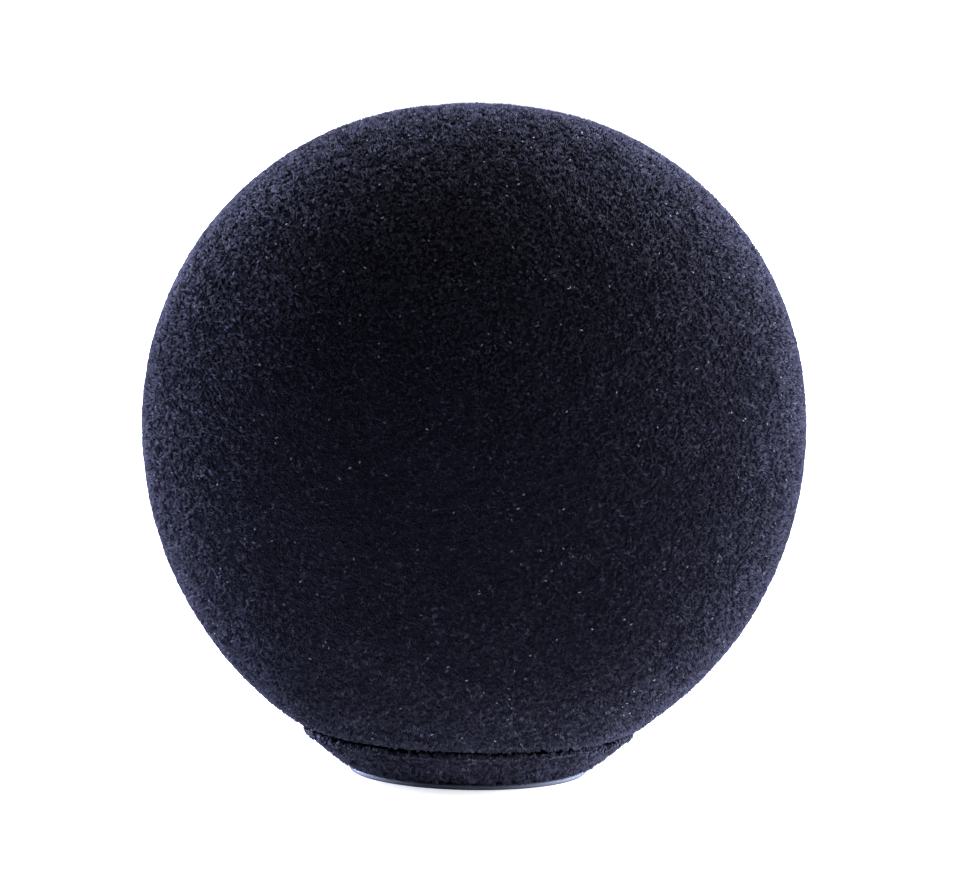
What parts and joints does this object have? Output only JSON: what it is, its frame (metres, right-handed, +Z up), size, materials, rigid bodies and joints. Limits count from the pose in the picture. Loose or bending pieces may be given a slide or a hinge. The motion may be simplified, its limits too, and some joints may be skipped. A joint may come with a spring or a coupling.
{
  "type": "microphone windscreen",
  "caption": "Furry ball windscreen: a hollow short-pile ball that plugs on to a fur-covered neck holding a rubber microphone grommet.",
  "frame": {"origin": "centre of the bottom face of the grommet's flange, on the microphone's axis", "axes": "+Z up along the microphone's axis from the neck to the crown; the object is round about Z"},
  "size_m": [0.09, 0.09, 0.0908],
  "materials": {
    "pile_navy": "very short dense pile, near-black navy",
    "thread_navy": "sewing thread",
    "elastic_black": "covered elastic cord",
    "foam_charcoal": null,
    "gauze_black": "woven acoustic gauze",
    "basket_black": "moulded, fine texture",
    "ring_black": "moulded, satin",
    "steel_screw": "blackened steel",
    "rubber_black": "smooth",
    "rubber_blue_grey": "smooth, soft sheen"
  },
  "bodies": {
    "grommet": {"microphone_grommet": "rubber_blue_grey", "grommet_stiffener": "ring_black"},
    "neck": {"neck_collar": "ring_black", "collar_fur_sleeve": "pile_navy", "collar_foam_ring": "foam_charcoal", "sleeve_stitches": "thread_navy", "neck_foam_seal": "foam_charcoal"},
    "o_ring": {"friction_o_ring": "rubber_black"},
    "ball": {"fur_ball_cover": "pile_navy", "hem_elastic": "elastic_black", "hem_stitches": "thread_navy", "foam_shell_upper": "foam_charcoal", "foam_shell_lower": "foam_charcoal", "gauze_liner_upper": "gauze_black", "gauze_liner_lower": "gauze_black", "basket_upper": "basket_black", "basket_lower": "basket_black", "equator_snap_ring": "ring_black", "socket_ring": "ring_black", "socket_screws": "steel_screw", "screw_washers": "steel_screw"}
  },
  "joints": [
    {"name": "neck_lift", "type": "slide", "parent": "grommet", "child": "neck", "axis": [0, 0, 1], "range_m": [0, 0.02]},
    {"name": "ball_turn", "type": "hinge", "parent": "neck", "child": "o_ring", "pos_m": [0, 0, 0.0105], "axis": [0, 0, 1], "continuous": true},
    {"name": "ball_lift", "type": "slide", "parent": "o_ring", "child": "ball", "axis": [0, 0, 1], "range_m": [0, 0.03]}
  ]
}
